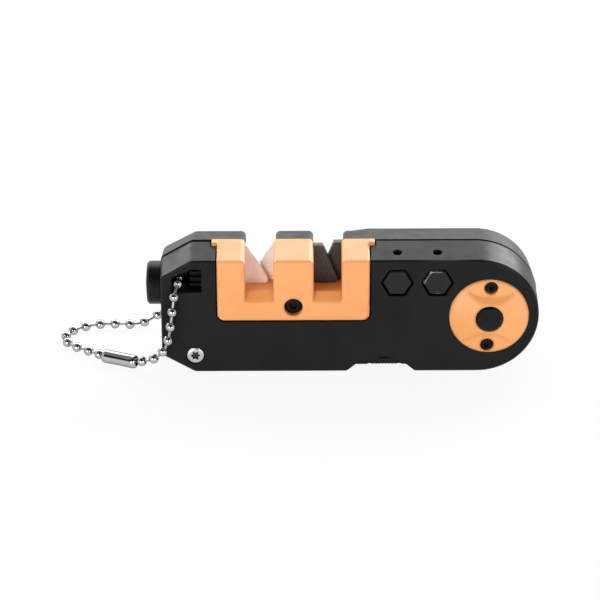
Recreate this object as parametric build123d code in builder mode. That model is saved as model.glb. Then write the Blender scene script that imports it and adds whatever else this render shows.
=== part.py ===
"""Pocket knife sharpener with a ceramic V, a carbide V and a folding diamond rod.

X runs along the handle from the whistle to the round end, Y from the front face to the rear,
and Z up. The origin is on the surface that the handle stands on, below its middle, and the two
shells meet on the plane y = 0. All sizes are in millimetres.
"""

import math
import os

from build123d import *

# Handle shells, seen from the front
half_depth = 9.25
ridge_rise = 1.7
ridge_reach = 0.3
slant_run = 7.6
slant_skew = 0.4
slant_drop = 4.55
heel_run = 8.3
heel_rise = 4.75
swell_depth = 2.1
swell_after = 6.3
swell_ramp = 4.3
corner_round = 1.8
edge_bevel = 0.35
parting_half = 0.3
parting_depth = 0.7
overrun = 4.0

# Pegs that line the shells up
peg_radius = 1.2
peg_length = 3.0
peg_fit = 0.05
peg_wall = 1.3
nose_peg_up = 15.2
tail_peg_drop = 2.7

# Bottom notch, and the thumb scoop above it where the arm's ribbed tab shows
scoop_reach = 26.1
scoop_radius = 5.6
scoop_rise = 4.1
scoop_depth = 5.2
notch_before = 9.7
notch_length = 17.6
notch_slope = 2.45
notch_rise = 2.05

# Sharpening insert
insert_inset = 14.1
insert_wall = 4.5
insert_corner = 1.75
insert_gap = 0.35
insert_proud = 0.3
insert_rise = 0.35
ear_reach = 1.4
ear_height = 1.6
ear_depth = 2.3
left_tower = 7.0
middle_tower = 10.05
right_tower = 6.95
slot_width = 7.05
rear_slot_extra = 0.55
slot_floor_up = 7.1
slot_lip_depth = 2.5
slot_lip_drop = 2.1
tower_round = 1.2
front_edge_round = 0.5

# Crossed plates: one of each pair lies before the parting plane and one behind it
plate_thickness = 1.85
plate_gap = 0.05
plate_seat = 0.35
plate_fit = 0.05
plate_top_corner = 0.4
plate_foot_corner = 1.2
plate_top_drop = 0.65
ceramic_angle = 30.0
carbide_angle = 22.0
ceramic_apex_drop = 4.7
carbide_apex_drop = 2.4

# Folding arm, its hub and the tapered rod
hub_radius = 11.0
hub_wall = 0.6
hub_tail_wall = 1.5
arm_half = 4.0
arm_clear = 0.3
run_clear = 0.08
trunnion_radius = 8.0
trunnion_length = 3.2
trunnion_clear = 0.2
neck_half = 4.2
neck_reach = 13.0
beam_lift = 0.7
beam_height = 8.8
beam_reach = 37.0
beam_corner = 1.2
tab_width = 6.4
tab_reach = 3.6
tab_low = 1.3
tab_height = 1.55
ledge_width = 9.8
ledge_height = 0.45
rib_count = 7
rib_pitch = 0.81
rib_depth = 0.3
rod_base_radius = 3.0
rod_tip_radius = 1.5
tang_radius = 2.1
tang_length = 8.0
tang_fit = 0.05
rod_end_clear = 0.9

# Pivot cap, its screws, the lock button and its spring
cap_step = 1.0
cap_proud = 0.3
cap_dome = 1.8
cap_edge = 0.4
cap_flat_radius = 12.0
cap_flat_width = 4.5
cap_flat_slope_angle = 50.0
cap_turn_angle = 2.5
cap_screw_in = 2.2
cap_screw_sink = 0.3
button_radius = 3.3
button_gap = 0.2
button_proud = 0.15
button_edge = 0.5
cone_start = 0.5
cone_length = 3.0
cone_radius = 6.0
skirt_length = 1.2
spring_seat = 1.8
spring_hole_radius = 4.4
spring_radius = 3.5
spring_wire = 0.7
spring_turns = 3
post_radius = 2.5
post_length = 2.5

# Screws, with the rounding of their heads as shares of head radius and head height
screw_fit = 0.05
small_head_radius = 1.7
small_head_height = 1.5
small_shank_radius = 0.9
small_shank_length = 6.0
case_screw_in = 8.4
case_screw_up = 4.6
case_screw_wall = 2.8
case_head_radius = 2.25
case_head_height = 1.3
case_head_gap = 0.15
case_head_proud = 0.15
case_shank_radius = 1.1
case_shank_length = 13.5
insert_screw_up = 3.7
insert_hole_radius = 2.35
insert_head_radius = 2.25
insert_head_height = 1.8
insert_head_sink = 0.6
insert_shank_length = 10.0
recess_depth = 0.8
recess_share = 0.5
head_dome_shares = ((0.95, 0.3), (0.75, 0), (0, 0))

# Hex bits, their pockets and magnets
bit_across_flats = 6.35
bit_gap = 0.45
bit_from_insert = 6.9
bit_spacing = 10.0
bit_wall = 1.05
bit_roof = 2.45
pocket_corner = 0.8
bit_recess = 0.05
bit_bevel = 0.3
hex_length = 11.0
bit_neck_radius = 2.4
bit_length = 18.3
bit_tip_length = 5.0
push_hole_radius = 2.8
slot_tip_thickness = 1.0
cross_tip_radius = 0.7
flute_radius = 1.5
magnet_radius = 1.15
magnet_length = 2.0
magnet_fit = 0.05
magnet_in = 3.6
magnet_lift = 0.12

# Whistle
knob_radius = 5.5
knob_out = 3.9
knob_up = 20.75
knob_crown = 0.45
knob_bevel = 0.6
spigot_radius = 3.6
spigot_short = 0.15
spigot_fit = 0.05
windway_up = 2.3
windway_height = 1.1
windway_width = 3.4
window_inset = 2.8
window_width = 7.5
window_low = 22.0
window_high = 28.3
window_shoulder = 2.2
window_slope_run = 4.9
window_corner = 0.8
hole_width = 4.4
lanyard_in = 4.6
lanyard_up = 2.1
lanyard_radius = 1.95
fin_recess = 4.2
fin_inset = 2.6
fin_thickness = 0.3
fin_first = 1.15
fin_pitch = 1.65
fin_count = 3

# Ball chain, with the rounding of its connector as shares of the connector's shoulder
bead_radius = 1.25
bead_side_count = 8
bead_pitch = 3.93
barrel_gap = 5.0
link_radius = 0.42
link_seat = 0.25
barrel_radius = 1.75
barrel_wall = 0.3
barrel_length = 9.8
barrel_neck_radius = 0.9
barrel_round = 1.1
barrel_turn_in = 1.0
barrel_shoulder_share = 0.3

# Route of the chain, in points from the nose, the parting plane and the window's lower edge where
# it runs through the window, and from the nose, the front or rear face and the floor elsewhere
window_route_front = [
    (4.6, -0.05, 1.9),
    (4.5, -5.0, 2.0),
]
front_route = [
    (4.45, -0.55, 24.5),
    (3.58, 1.95, 22.7),
    (3.03, 2.65, 18.4),
    (2.48, 3.2, 14.1),
    (1.83, 3.05, 10.2),
    (0.58, 2.2, 6.9),
    (-1.82, 0.8, 4.0),
    (-6.47, -1.8, 1.85),
]
floor_route = [
    (-15.55, -12.45, 1.8),
    (-18.85, -9.25, 1.4),
    (-21.55, -7.25, 1.3),
    (-24.15, -5.35, 1.35),
    (-26.05, -2.35, 1.3),
    (-25.85, 1.65, 1.35),
    (-23.65, 4.45, 1.3),
    (-20.45, 6.45, 1.35),
    (-17.05, 7.55, 1.3),
    (-13.15, 7.55, 1.35),
    (-9.25, 7.05, 1.3),
    (-5.45, 8.25, 1.55),
    (-2.05, 9.35, 3.4),
    (0.55, 8.35, 6.6),
    (2.25, 6.35, 10.4),
    (3.65, 4.35, 14.4),
    (4.25, 2.75, 18.3),
    (4.45, 2.35, 22.2),
    (4.55, 0.55, 24.4),
]
window_route_rear = [
    (4.65, 4.8, 2.0),
    (4.6, 0.05, 1.9),
]
corner_share = 0.45

# Heights that follow from the sizes above: the bits lie on the arm's roof, and the pivot is at half height
pocket_flats = bit_across_flats + 2 * bit_gap
pocket_reach = (pocket_flats / 2 - pocket_corner) / math.cos(math.pi / 6) + pocket_corner
pivot_z = neck_half + arm_clear + bit_wall + pocket_flats + bit_roof
bit_z = pivot_z + neck_half + arm_clear + bit_wall + pocket_flats / 2
body_height = 2 * pivot_z
ridge_height = body_height + ridge_rise
beam_top = beam_lift + beam_height
rod_z = beam_lift + beam_height / 2
insert_floor = beam_top + arm_clear + insert_wall
insert_top = ridge_height + insert_rise
slot_floor = insert_floor + slot_floor_up
plate_top = ridge_height - plate_top_drop

# Lengths: insert, bits and pivot follow each other from the nose to the tail
insert_width = left_tower + slot_width + middle_tower + slot_width + right_tower
pivot_from_bit = math.sqrt(
    (hub_radius + arm_clear + hub_wall + pocket_reach) ** 2 - (bit_z - pivot_z) ** 2
)
pivot_inset = hub_radius + hub_tail_wall
cap_radius = hub_radius - cap_step
cap_screw_at = cap_radius - cap_screw_in
cap_flat_in = cap_radius - cap_flat_width
body_length = insert_inset + insert_width + bit_from_insert + bit_spacing + pivot_from_bit + pivot_inset
overall_length = body_length + 2 * ridge_reach + knob_out
nose_x = knob_out + ridge_reach - overall_length / 2
insert_left = nose_x + insert_inset
insert_right = insert_left + insert_width
insert_x = (insert_left + insert_right) / 2
ceramic_x = insert_left + left_tower + slot_width / 2
carbide_x = ceramic_x + slot_width + middle_tower
bit_places = (insert_right + bit_from_insert, insert_right + bit_from_insert + bit_spacing)
pivot_x = bit_places[1] + pivot_from_bit
tail_x = pivot_x + pivot_inset
swell_x = carbide_x + swell_after
beam_end = pivot_x - beam_reach
scoop_x = pivot_x - scoop_reach
case_screw_x = nose_x + case_screw_in
rod_tip_x = case_screw_x + case_shank_radius + case_screw_wall + rod_end_clear
window_left = nose_x + window_inset
window_right = window_left + window_width

# Depths
rear_depth = half_depth + swell_depth
cavity_half = arm_half + arm_clear
rear_wall = arm_half + trunnion_length + trunnion_clear
bit_front = bit_recess - half_depth
hex_end = bit_front + hex_length

pivot_axis = Axis((pivot_x, 0, pivot_z), (0, 1, 0))
pivot_section = Plane.XY.offset(pivot_z).shift_origin((pivot_x, 0, pivot_z))
slots = {
    "ceramic": (ceramic_x, body_height - ceramic_apex_drop, ceramic_angle),
    "carbide": (carbide_x, body_height - carbide_apex_drop, carbide_angle),
}
pegs = (
    (insert_left - insert_gap - peg_wall - peg_radius, nose_peg_up),
    (bit_places[1] + pocket_reach + peg_wall + peg_radius, body_height - tail_peg_drop),
)
insert_screw_z = insert_floor + insert_screw_up
magnet_y = magnet_in - half_depth
magnet_z = bit_z + pocket_flats / 2 + magnet_lift


def across(y):
    """Plane of the side view at depth y, with X to the right and Z up."""
    return Plane.XZ.offset(-y)


def bore(x, z, radius, y_front, y_rear, mode=Mode.SUBTRACT):
    """Round hole or pin along Y between two depths."""
    with BuildSketch(across(y_rear)) as round_hole:
        with Locations((x, z)):
            Circle(radius)
    extrude(round_hole.sketch, amount=y_rear - y_front, mode=mode)


def handle_outline(y, height, reach):
    """Side view of the handle: slanted nose, cut-away heel and a fully round tail.

    The slant runs a little further along the handle towards the rear.
    """
    left = nose_x - reach
    right = tail_x + reach
    radius = height / 2
    slant = slant_run + slant_skew * (y / half_depth + 1)
    with BuildSketch(across(y)) as outline:
        with BuildLine():
            Polyline(
                (right - radius, height),
                (left + slant, height),
                (left, height - slant_drop),
                (left, heel_rise),
                (left + heel_run, 0),
                (right - radius, 0),
            )
            ThreePointArc((right - radius, 0), (right, radius), (right - radius, height))
        make_face()
        fillet(outline.vertices().sort_by(Axis.X)[:4], radius=corner_round)
    return outline.sketch


def plate_outline(slot, side, y, grow=0):
    """One of two crossed plates: its slanted edge passes through the bottom of the V.

    side is -1 for the plate that leans from the left wall and 1 for the one from the right.
    """
    slot_x, apex_z, angle = slots[slot]
    apex_x = slot_x + rear_slot_extra / 2
    lean = math.tan(math.radians(angle))
    bottom = slot_floor - plate_seat
    outer = apex_x + side * ((slot_width + rear_slot_extra) / 2 + plate_seat)
    with BuildSketch(across(y)) as outline:
        with BuildLine():
            Polyline(
                (outer, bottom),
                (outer, plate_top),
                (apex_x + side * lean * (plate_top - apex_z), plate_top),
                (apex_x + side * lean * (bottom - apex_z), bottom),
                close=True,
            )
        make_face()
        fillet(outline.vertices().group_by(Axis.Y)[0], radius=plate_foot_corner)
        fillet(outline.vertices().group_by(Axis.Y)[-1], radius=plate_top_corner)
        if grow:
            offset(amount=grow)
    return outline.sketch


def cut_slots(outer_face, width):
    """Blade slots from the parting plane to an outer face, with a lip that falls away there."""
    side = math.copysign(1, outer_face)
    for slot_x, _, _ in slots.values():
        with BuildSketch(Plane.YZ.offset(slot_x - slot_width / 2)) as opening:
            with BuildLine():
                Polyline(
                    (0, slot_floor),
                    (outer_face - side * slot_lip_depth, slot_floor),
                    (outer_face, slot_floor - slot_lip_drop),
                    (outer_face + side * overrun, slot_floor - slot_lip_drop),
                    (outer_face + side * overrun, insert_top + overrun),
                    (0, insert_top + overrun),
                    close=True,
                )
            make_face()
        extrude(opening.sketch, amount=width, mode=Mode.SUBTRACT)


def round_towers(outer_face, width, top):
    """Round the tops of the towers on both sides of each slot, along the sloping top."""
    side = math.copysign(1, outer_face)
    half = width / 2
    middle = tower_round * (1 - math.sqrt(1 / 2))
    for slot_x, _, _ in slots.values():
        section = Plane(
            origin=(slot_x + half - slot_width / 2, 0, top),
            x_dir=(1, 0, 0),
            z_dir=(0, -abs(outer_face), side * (top - body_height)),
        )
        with BuildSketch(section) as flare:
            with BuildLine():
                ThreePointArc((-half - tower_round, 0), (-half - middle, -middle), (-half, -tower_round))
                Line((-half, -tower_round), (half, -tower_round))
                ThreePointArc((half, -tower_round), (half + middle, -middle), (half + tower_round, 0))
                Polyline(
                    (half + tower_round, 0),
                    (half + tower_round, overrun),
                    (-half - tower_round, overrun),
                    (-half - tower_round, 0),
                )
            make_face()
        extrude(flare.sketch, amount=2 * rear_depth, both=True, mode=Mode.SUBTRACT)


def cut_rod_cavity(y_front, y_rear):
    """Room for the folded arm and for its swing down and out past the tail."""
    with BuildSketch(across(y_rear)) as room:
        with BuildLine():
            Polyline(
                (rod_tip_x - rod_end_clear, -overrun),
                (rod_tip_x - rod_end_clear, beam_top + arm_clear),
                (pivot_x - neck_reach - arm_clear - pivot_z - neck_half + beam_top, beam_top + arm_clear),
                (pivot_x - neck_reach - arm_clear, pivot_z + neck_half + arm_clear),
                (tail_x + overrun, pivot_z + neck_half + arm_clear),
                (tail_x + overrun, -overrun),
                close=True,
            )
        make_face()
        with Locations((pivot_x, pivot_z)):
            Circle(hub_radius + arm_clear)
    extrude(room.sketch, amount=y_rear - y_front, mode=Mode.SUBTRACT)


def cut_notch(y_front, y_rear, outer_face):
    """Notch in the lower edge, with a thumb scoop that thins the wall above it."""
    start = scoop_x - notch_before
    with BuildSketch(across(y_rear)) as notch:
        with BuildLine():
            Polyline(
                (start - notch_slope, -notch_rise),
                (start, 0),
                (start + notch_slope, notch_rise),
                (start + notch_length - notch_slope, notch_rise),
                (start + notch_length, 0),
                (start + notch_length + notch_slope, -notch_rise),
                close=True,
            )
        make_face()
    extrude(notch.sketch, amount=y_rear - y_front, mode=Mode.SUBTRACT)
    inner = outer_face - math.copysign(scoop_depth, outer_face)
    bore(scoop_x, scoop_rise - scoop_radius, scoop_radius, min(inner, outer_face), max(inner, outer_face))


def window_outline(y, width):
    """Sound window up to a width: its upper left corner follows the slanted nose."""
    with BuildSketch(across(y)) as outline:
        with BuildLine():
            Polyline(
                (window_left, window_low),
                (window_right, window_low),
                (window_right, window_high),
                (window_left + window_slope_run, window_high),
                (window_left, window_high - window_shoulder),
                close=True,
            )
        make_face()
        fillet(
            outline.vertices().sort_by_distance((window_right, window_high))[0],
            radius=window_corner,
        )
        with Locations((window_left + width, 0)):
            Rectangle(
                window_width,
                2 * body_height,
                align=(Align.MIN, Align.CENTER),
                mode=Mode.SUBTRACT,
            )
    return outline.sketch


def cut_spigot_seat():
    """Round seat of the whistle mouthpiece, from the nose to the window."""
    with BuildSketch(Plane.YZ.offset(nose_x - overrun)) as seat:
        with Locations((0, knob_up)):
            Circle(spigot_radius + spigot_fit)
    extrude(seat.sketch, amount=overrun + window_inset, mode=Mode.SUBTRACT)


# Front shell: tapered to the front face, with the insert's pocket, the pivot hole, the two bit
# pockets, the whistle window with its fins, and the front half of the rod's slot
with BuildPart() as front_shell:
    loft(
        [
            handle_outline(-half_depth, body_height, 0).face(),
            handle_outline(-parting_half, ridge_height, ridge_reach).face(),
            handle_outline(0, ridge_height - parting_depth, ridge_reach - parting_depth).face(),
        ],
        ruled=True,
    )
    chamfer(front_shell.faces().sort_by(Axis.Y)[0].edges(), length=edge_bevel)
    with BuildSketch(across(0)):
        with Locations((insert_left - insert_gap, insert_floor - insert_gap)):
            pocket = Rectangle(
                insert_width + 2 * insert_gap, body_height, align=(Align.MIN, Align.MIN)
            )
        fillet(pocket.vertices().group_by(Axis.Y)[0], radius=insert_corner + insert_gap)
    extrude(amount=half_depth + overrun, mode=Mode.SUBTRACT)
    with BuildSketch(across(0)):
        with Locations((insert_x, insert_top - ear_height - insert_gap)):
            Rectangle(
                insert_width + 2 * (ear_reach + insert_gap),
                ear_height + overrun,
                align=(Align.CENTER, Align.MIN),
            )
    extrude(amount=ear_depth + insert_gap, mode=Mode.SUBTRACT)
    cut_rod_cavity(-cavity_half, 0)
    bore(pivot_x, pivot_z, cap_radius + run_clear, -half_depth - overrun, 0)
    cut_notch(-half_depth - overrun, 0, -half_depth)
    with BuildSketch(across(0)) as pockets:
        with Locations(*[(x, bit_z) for x in bit_places]):
            RegularPolygon(pocket_flats / 2, side_count=6, major_radius=False)
        fillet(pockets.vertices(), radius=pocket_corner)
    extrude(amount=half_depth + overrun, mode=Mode.SUBTRACT)
    with BuildSketch(Plane.XY.offset(bit_z)):
        with Locations(*[(x, magnet_y) for x in bit_places]):
            Circle(magnet_radius + magnet_fit)
    extrude(amount=body_height, mode=Mode.SUBTRACT)
    extrude(
        window_outline(fin_recess - half_depth, window_width),
        amount=fin_recess + overrun,
        mode=Mode.SUBTRACT,
    )
    extrude(window_outline(0, hole_width), amount=half_depth + overrun, mode=Mode.SUBTRACT)
    with BuildSketch(across(fin_recess - half_depth)):
        for fin in range(fin_count):
            with Locations((window_right, window_low + fin_first + fin * fin_pitch)):
                Rectangle(window_width - hole_width, fin_thickness, align=(Align.MAX, Align.CENTER))
    extrude(amount=fin_recess - fin_inset)
    cut_spigot_seat()
    bore(case_screw_x, case_screw_up, case_shank_radius + screw_fit, -half_depth - overrun, 0)
    bore(
        case_screw_x,
        case_screw_up,
        case_head_radius + case_head_gap,
        -half_depth - overrun,
        case_head_height - case_head_proud - half_depth,
    )
    for peg_x, peg_z in pegs:
        bore(peg_x, peg_z, peg_radius + peg_fit, -peg_length - peg_fit, 0)

# Rear shell: deeper towards the tail, with the towers behind the insert, the seats of the rear
# plates, the blind bearing of the arm and the post of the lock spring
with BuildPart() as rear_shell:
    loft(
        [
            handle_outline(0, ridge_height - parting_depth, ridge_reach - parting_depth).face(),
            handle_outline(parting_half, ridge_height, ridge_reach).face(),
            handle_outline(rear_depth, body_height, 0).face(),
        ],
        ruled=True,
    )
    with BuildSketch(Plane.XY):
        with BuildLine():
            Polyline(
                (nose_x - overrun, 0),
                (nose_x - overrun, half_depth),
                (swell_x, half_depth),
                (swell_x + swell_ramp, rear_depth),
                (tail_x + overrun, rear_depth),
                (tail_x + overrun, 0),
                close=True,
            )
        make_face()
    extrude(amount=ridge_height, mode=Mode.INTERSECT)
    cut_slots(rear_depth, slot_width + rear_slot_extra)
    round_towers(rear_depth, slot_width + rear_slot_extra, ridge_height)
    for slot in slots:
        extrude(
            plate_outline(slot, 1, plate_gap + plate_thickness + plate_fit, grow=plate_fit),
            amount=plate_gap + plate_thickness + plate_fit,
            mode=Mode.SUBTRACT,
        )
    cut_rod_cavity(0, cavity_half)
    bore(pivot_x, pivot_z, trunnion_radius + run_clear, 0, rear_wall)
    bore(pivot_x, pivot_z, post_radius, rear_wall - post_length, rear_wall, mode=Mode.ADD)
    cut_notch(0, rear_depth + overrun, rear_depth)
    with BuildSketch(across(hex_end)) as pocket_ends:
        with Locations(*[(x, bit_z) for x in bit_places]):
            RegularPolygon(pocket_flats / 2, side_count=6, major_radius=False)
        fillet(pocket_ends.vertices(), radius=pocket_corner)
    extrude(amount=hex_end, mode=Mode.SUBTRACT)
    for x in bit_places:
        bore(x, bit_z, push_hole_radius, 0, rear_depth + overrun)
    bore(nose_x + lanyard_in, window_low + lanyard_up, lanyard_radius, 0, rear_depth + overrun)
    cut_spigot_seat()
    bore(case_screw_x, case_screw_up, case_shank_radius + screw_fit, 0,
         case_head_height - case_head_proud + case_shank_length - half_depth + screw_fit)
    bore(insert_x, insert_screw_z, case_shank_radius + screw_fit, 0,
         insert_head_sink + insert_head_height + insert_shank_length - half_depth + screw_fit)
    for peg_x, peg_z in pegs:
        bore(peg_x, peg_z, peg_radius, -peg_length, 0, mode=Mode.ADD)

# Sharpening insert: one moulding with three towers, ears that hook behind the front shell, and
# seats for the two front plates
with BuildPart() as sharpening_insert:
    with BuildSketch(Plane.YZ.offset(insert_left)):
        with BuildLine():
            Polyline(
                (0, insert_floor),
                (0, insert_top),
                (-half_depth - insert_proud, body_height),
                (-half_depth - insert_proud, insert_floor),
                close=True,
            )
        make_face()
    extrude(amount=insert_width)
    fillet(
        sharpening_insert.edges().filter_by(Axis.Y).group_by(Axis.Z)[0], radius=insert_corner
    )
    cut_slots(-half_depth - insert_proud, slot_width)
    fillet(sharpening_insert.faces().sort_by(Axis.Y)[0].edges(), radius=front_edge_round)
    with BuildSketch(across(0)):
        with Locations((insert_x, insert_top - ear_height)):
            Rectangle(insert_width + 2 * ear_reach, ear_height, align=(Align.CENTER, Align.MIN))
        with Locations((insert_x, 0)):
            Rectangle(insert_width, 2 * insert_top + overrun, mode=Mode.SUBTRACT)
    extrude(amount=ear_depth)
    round_towers(-half_depth - insert_proud, slot_width, insert_top)
    for slot in slots:
        extrude(
            plate_outline(slot, -1, 0, grow=plate_fit),
            amount=plate_gap + plate_thickness + plate_fit,
            mode=Mode.SUBTRACT,
        )
    bore(insert_x, insert_screw_z, case_shank_radius + screw_fit, -half_depth - overrun, 0)
    bore(insert_x, insert_screw_z, insert_hole_radius, -half_depth - overrun,
         insert_head_sink + insert_head_height - half_depth)

plates = {}
for slot in slots:
    for place, side in (("front", -1), ("rear", 1)):
        with BuildPart() as plate:
            rear_face = max(side, 0) * plate_thickness + side * plate_gap
            extrude(plate_outline(slot, side, rear_face), amount=plate_thickness)
        plates[f"{slot}_plate_{place}"] = plate.part


def screw(x, z, head_y, head_radius, head_height, shank_radius, shank_length):
    """Round-headed screw along Y with a star recess; its head starts at head_y."""
    shoulder = head_y + head_height
    end = shoulder + shank_length
    dome = [(x + head_radius * r, head_y + head_height * y) for r, y in head_dome_shares]
    with BuildPart() as fastener:
        with BuildSketch(Plane.XY.offset(z)):
            with BuildLine():
                Polyline(
                    (x, head_y),
                    (x, end),
                    (x + shank_radius / 2, end),
                    (x + shank_radius, end - shank_radius),
                    (x + shank_radius, shoulder),
                    (x + head_radius, shoulder),
                    *dome,
                )
            make_face()
        revolve(axis=Axis((x, 0, z), (0, 1, 0)))
        with BuildSketch(across(head_y + recess_depth)):
            with Locations((x, z)):
                RegularPolygon(head_radius * recess_share, side_count=3)
                RegularPolygon(head_radius * recess_share, side_count=3, rotation=60)
        extrude(amount=recess_depth + overrun, mode=Mode.SUBTRACT)
    return fastener.part


# Screws: one through the insert, one at the lower corner of the handle, two in the pivot cap
insert_screw = screw(
    insert_x,
    insert_screw_z,
    insert_head_sink - half_depth,
    insert_head_radius,
    insert_head_height,
    case_shank_radius,
    insert_shank_length,
)
case_screw = screw(
    case_screw_x,
    case_screw_up,
    -half_depth - case_head_proud,
    case_head_radius,
    case_head_height,
    case_shank_radius,
    case_shank_length,
)
cap_front = -half_depth - cap_proud
cap_head_y = cap_front + cap_screw_sink
cap_across = Vector(0, 1).rotate(Axis.Z, -cap_turn_angle)
cap_centre = Vector(pivot_x, pivot_z)
cap_screw_places = [tuple(cap_centre + cap_across * side * cap_screw_at)[:2] for side in (-1, 1)]
cap_screws = Compound(
    children=[
        screw(
            x,
            z,
            cap_head_y,
            small_head_radius,
            small_head_height,
            small_shank_radius,
            small_shank_length,
        )
        for x, z in cap_screw_places
    ]
)

# Arm: hub between the cheeks, trunnion in the rear shell, a dog-leg neck and a straight beam
upper_fall = pivot_z + neck_half - beam_top
lower_fall = pivot_z - neck_half - beam_lift
trunnion_end = arm_half + trunnion_length
cone_end = cone_start + cone_length
with BuildPart() as rod_arm:
    with BuildSketch(across(arm_half)) as side_view:
        with BuildLine():
            Polyline(
                (pivot_x, pivot_z + neck_half),
                (pivot_x - neck_reach, pivot_z + neck_half),
                (pivot_x - neck_reach - upper_fall, beam_top),
                (beam_end, beam_top),
                (beam_end, beam_lift),
                (pivot_x - neck_reach - lower_fall, beam_lift),
                (pivot_x - neck_reach, pivot_z - neck_half),
                (pivot_x, pivot_z - neck_half),
                close=True,
            )
        make_face()
        fillet(side_view.vertices().group_by(Axis.X)[0], radius=beam_corner)
        with Locations((pivot_x, pivot_z)):
            Circle(hub_radius)
    extrude(amount=2 * arm_half)
    bore(pivot_x, pivot_z, trunnion_radius, arm_half, trunnion_end, mode=Mode.ADD)
    bore(pivot_x, pivot_z, button_radius + run_clear, -arm_half, trunnion_end)
    with BuildSketch(pivot_section):
        with BuildLine():
            Polyline(
                (0, cone_start),
                (button_radius + run_clear, cone_start),
                (cone_radius, cone_end),
                (cone_radius, trunnion_end + overrun),
                (0, trunnion_end + overrun),
                close=True,
            )
        make_face()
    revolve(axis=pivot_axis, mode=Mode.SUBTRACT)
    for x, z in cap_screw_places:
        bore(
            x,
            z,
            small_shank_radius + screw_fit,
            -arm_half,
            cap_head_y + small_head_height + small_shank_length + screw_fit,
        )
    with BuildSketch(Plane.XY.offset(tab_low)):
        with Locations((scoop_x, -arm_half)):
            Rectangle(tab_width, tab_reach, align=(Align.CENTER, Align.MAX))
        with Locations((scoop_x, -arm_half - tab_reach)):
            with GridLocations(rib_pitch, rib_pitch, rib_count, 1):
                RegularPolygon(rib_depth, side_count=4, mode=Mode.SUBTRACT)
    extrude(amount=tab_height)
    with BuildSketch(Plane.XY.offset(tab_low)):
        with Locations((scoop_x, -arm_half)):
            Rectangle(ledge_width, tab_reach - rib_depth, align=(Align.CENTER, Align.MAX))
    extrude(amount=ledge_height)
    with BuildSketch(Plane.YZ.offset(beam_end)):
        with Locations((0, rod_z)):
            Circle(tang_radius + tang_fit)
    extrude(amount=tang_length + tang_fit, mode=Mode.SUBTRACT)

# Tapered diamond-coated rod, its tang set in the end of the beam
with BuildPart() as diamond_rod:
    with BuildSketch(Plane.XZ):
        with BuildLine():
            Polyline(
                (rod_tip_x, rod_z),
                (beam_end + tang_length, rod_z),
                (beam_end + tang_length, rod_z + tang_radius),
                (beam_end, rod_z + tang_radius),
                (beam_end, rod_z + rod_base_radius),
                (rod_tip_x + rod_tip_radius, rod_z + rod_tip_radius),
                (rod_tip_x, rod_z + rod_tip_radius / 2),
                close=True,
            )
        make_face()
    revolve(axis=Axis((0, 0, rod_z), (1, 0, 0)))

# Pivot cap: domed disc that turns with the hub, lowered above and below where its screws sit
cap_bore = button_radius + button_gap
dome_rim = cap_radius - cap_edge
dome_radius = (dome_rim**2 + cap_dome**2) / (2 * cap_dome)


def dome_y(radius):
    """Depth of the domed front at a distance from the pivot."""
    return cap_front - cap_dome + dome_radius - math.sqrt(dome_radius**2 - radius**2)


with BuildPart() as pivot_cap:
    with BuildSketch(pivot_section):
        with BuildLine():
            Polyline(
                (cap_bore, dome_y(cap_bore)),
                (cap_bore, -arm_half),
                (cap_radius, -arm_half),
                (cap_radius, cap_front + cap_edge),
                (dome_rim, cap_front),
            )
            ThreePointArc(
                (dome_rim, cap_front),
                (dome_rim / 2 + cap_bore / 2, dome_y(dome_rim / 2 + cap_bore / 2)),
                (cap_bore, dome_y(cap_bore)),
            )
        make_face()
    revolve(axis=pivot_axis)
    with BuildSketch(across(cap_front)):
        for side in (-1, 1):
            with Locations(tuple(cap_centre + cap_across * side * (cap_flat_in + cap_flat_radius))[:2]):
                Circle(cap_flat_radius)
    extrude(amount=cap_dome + cap_edge, taper=-cap_flat_slope_angle, mode=Mode.SUBTRACT)
    for x, z in cap_screw_places:
        bore(x, z, small_shank_radius + screw_fit, cap_front, -arm_half)
        bore(x, z, small_head_radius + screw_fit, cap_front - overrun, cap_head_y + small_head_height)

# Lock button: its cone is pressed into the hub's seat by the spring, and pushing it in frees the hub
button_front = cap_front - cap_dome - button_proud
skirt_end = cone_end + skirt_length
with BuildPart() as lock_button:
    with BuildSketch(pivot_section):
        with BuildLine():
            Polyline(
                (0, button_front),
                (button_radius - button_edge, button_front),
                (button_radius, button_front + button_edge),
                (button_radius, cone_start),
                (cone_radius - run_clear, cone_end),
                (cone_radius - run_clear, skirt_end),
                (spring_hole_radius, skirt_end),
                (spring_hole_radius, spring_seat),
                (0, spring_seat),
                close=True,
            )
        make_face()
    revolve(axis=pivot_axis)

# Coil spring between the button and the rear wall
coil_start = spring_seat + spring_wire / 2
coil_height = rear_wall - spring_wire / 2 - coil_start
with BuildPart() as lock_spring:
    with BuildLine() as coil:
        Helix(
            pitch=coil_height / spring_turns,
            height=coil_height,
            radius=spring_radius,
            center=(pivot_x, coil_start, pivot_z),
            direction=(0, 1, 0),
        )
    with BuildSketch(coil.line ^ 0):
        RegularPolygon(spring_wire / 2, side_count=4)
    sweep(path=coil.line)


def bit_body():
    """Hexagonal shank of a bit, bevelled at its front end."""
    with BuildPart() as shank:
        with BuildSketch(across(hex_end)):
            with Locations((0, bit_z)):
                RegularPolygon(bit_across_flats / 2, side_count=6, major_radius=False)
        extrude(amount=hex_length)
        chamfer(shank.faces().sort_by(Axis.Y)[0].edges(), length=bit_bevel)
    return shank.part


bit_end = bit_front + bit_length
tip_start = bit_end - bit_tip_length
bit_axis = Axis((0, 0, bit_z), (0, 1, 0))

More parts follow.
